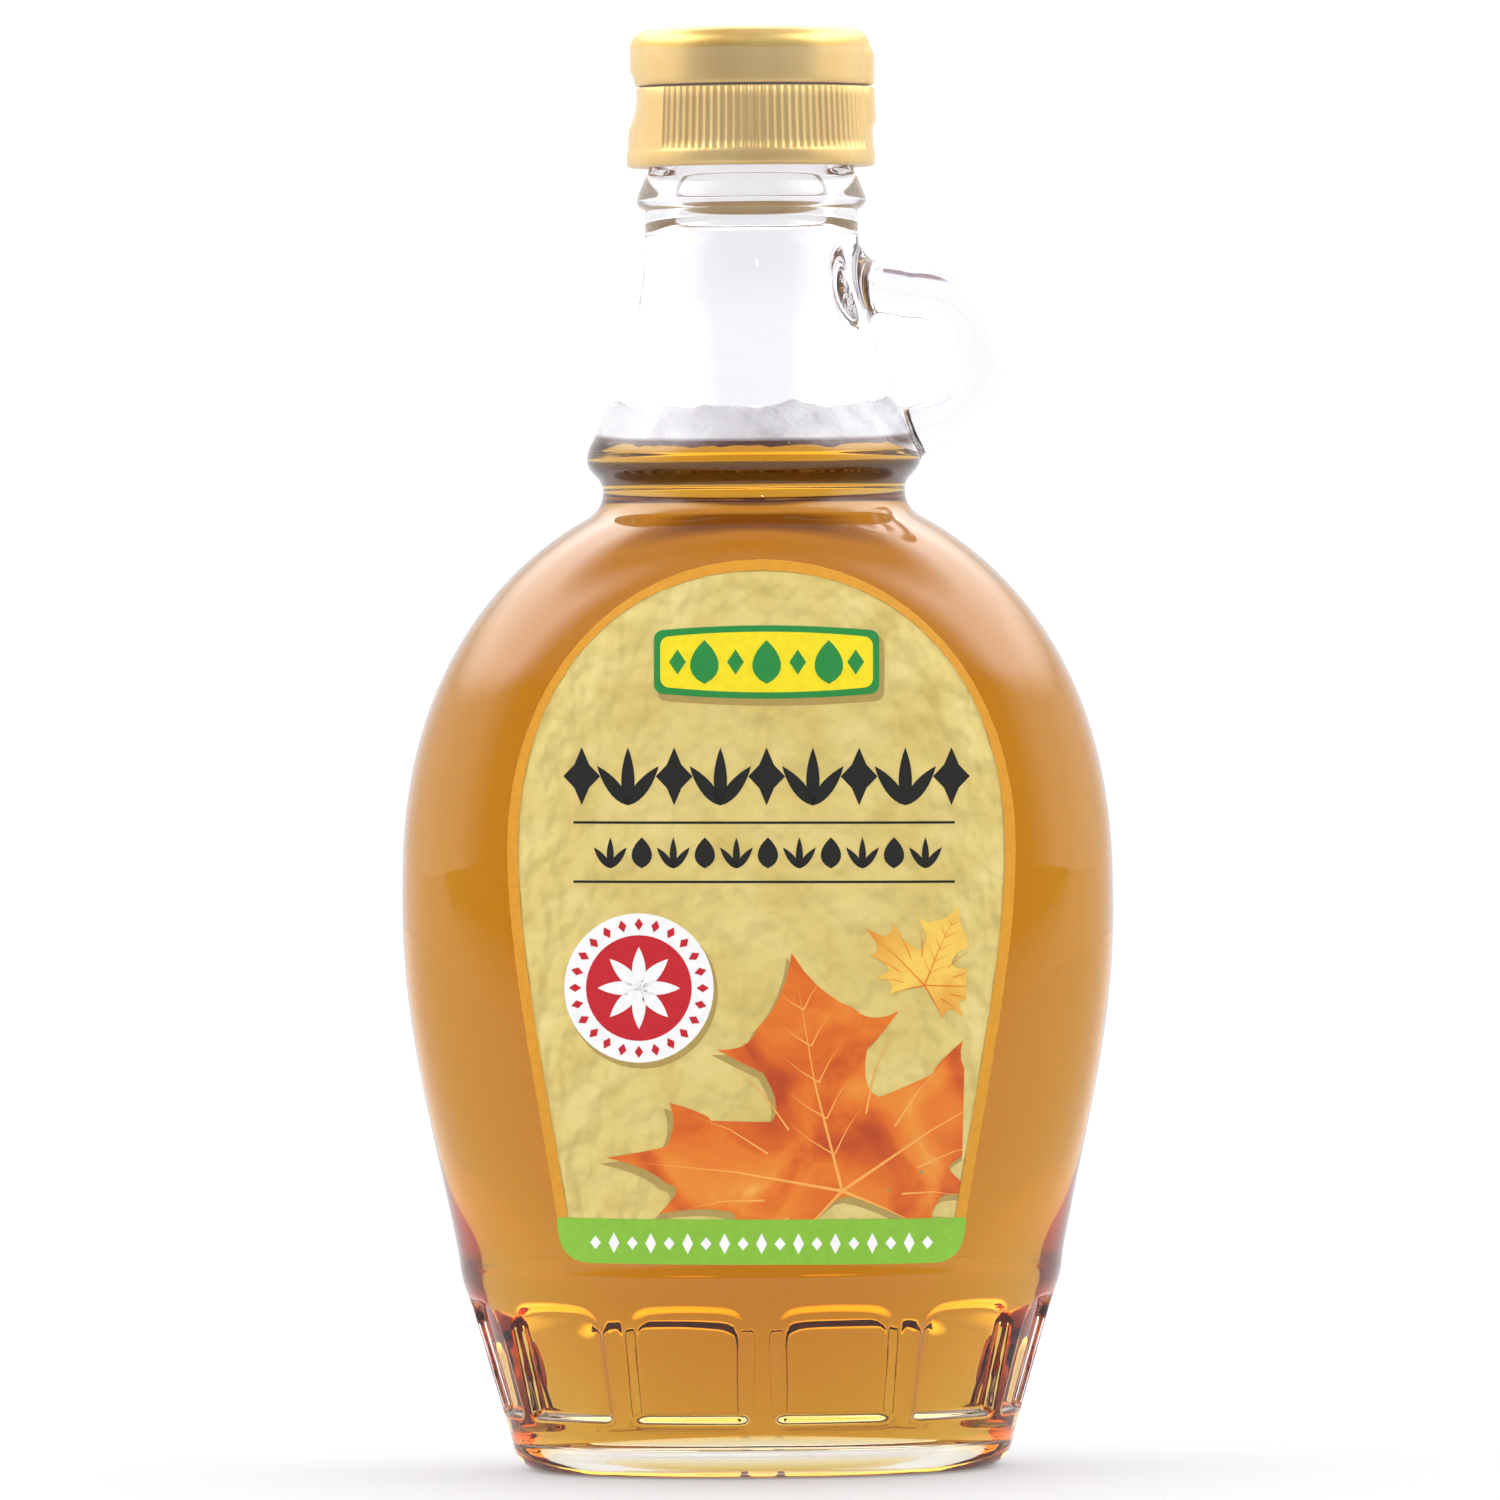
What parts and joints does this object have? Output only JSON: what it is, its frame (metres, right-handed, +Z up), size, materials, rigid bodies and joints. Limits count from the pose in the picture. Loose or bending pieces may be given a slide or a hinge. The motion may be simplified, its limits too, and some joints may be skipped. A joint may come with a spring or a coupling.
{
  "type": "maple syrup bottle",
  "caption": "Oval glass flask with a ring handle and a panelled base, filled with amber syrup, with a flip-top cap, a clear seal and a front label.",
  "frame": {"origin": "middle of the base at the level that the bottle stands on", "axes": "+Z up along the bottle, -Y out of the label's face, +X towards the ring handle"},
  "size_m": [0.086, 0.0517, 0.1743],
  "materials": {
    "clear_glass": "polished",
    "amber_syrup": "smooth liquid",
    "syrup_foam": "fine bubbles",
    "gold_cap": "satin metallic",
    "clear_film": "clear shrink film",
    "label_paper": "embossed paper"
  },
  "bodies": {
    "root": {"glass_bottle": "clear_glass", "syrup": "amber_syrup", "foam": "syrup_foam", "cap": "gold_cap", "sealing_film": "clear_film", "label": "label_paper"}
  },
  "joints": []
}
